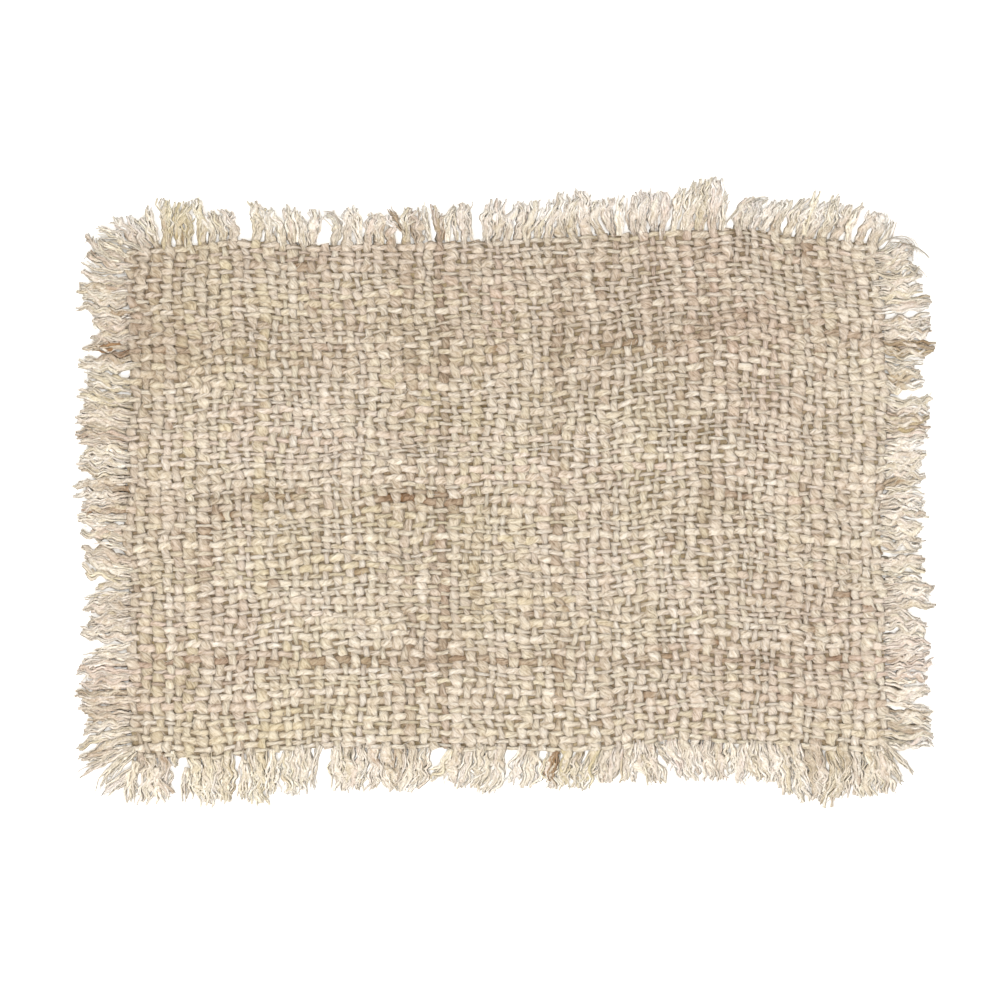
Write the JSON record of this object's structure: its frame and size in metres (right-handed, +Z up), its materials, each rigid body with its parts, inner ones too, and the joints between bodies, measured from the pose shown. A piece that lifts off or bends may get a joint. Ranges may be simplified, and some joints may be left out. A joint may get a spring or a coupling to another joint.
{
  "type": "fringed woven placemat",
  "caption": "Flat rectangular cloth placemat of coarse slubby yarn in plain weave, with a raw yarn fringe on every side.",
  "frame": {"origin": "middle of the mat's outline, on the surface that it lies on", "axes": "+X along the long side, +Y along the short side towards the upper edge, +Z up out of the cloth"},
  "size_m": [0.5099, 0.3714, 0.0052],
  "materials": {
    "cloth": "matt plain weave of hand-spun slubby bast yarn, cream and beige with tan and brown streaks",
    "fringe": "matt ravelled bast yarn, pale cream"
  },
  "bodies": {
    "root": {"cloth": "cloth", "fringe_top": "fringe", "fringe_bottom": "fringe", "fringe_left": "fringe", "fringe_right": "fringe"}
  },
  "joints": []
}
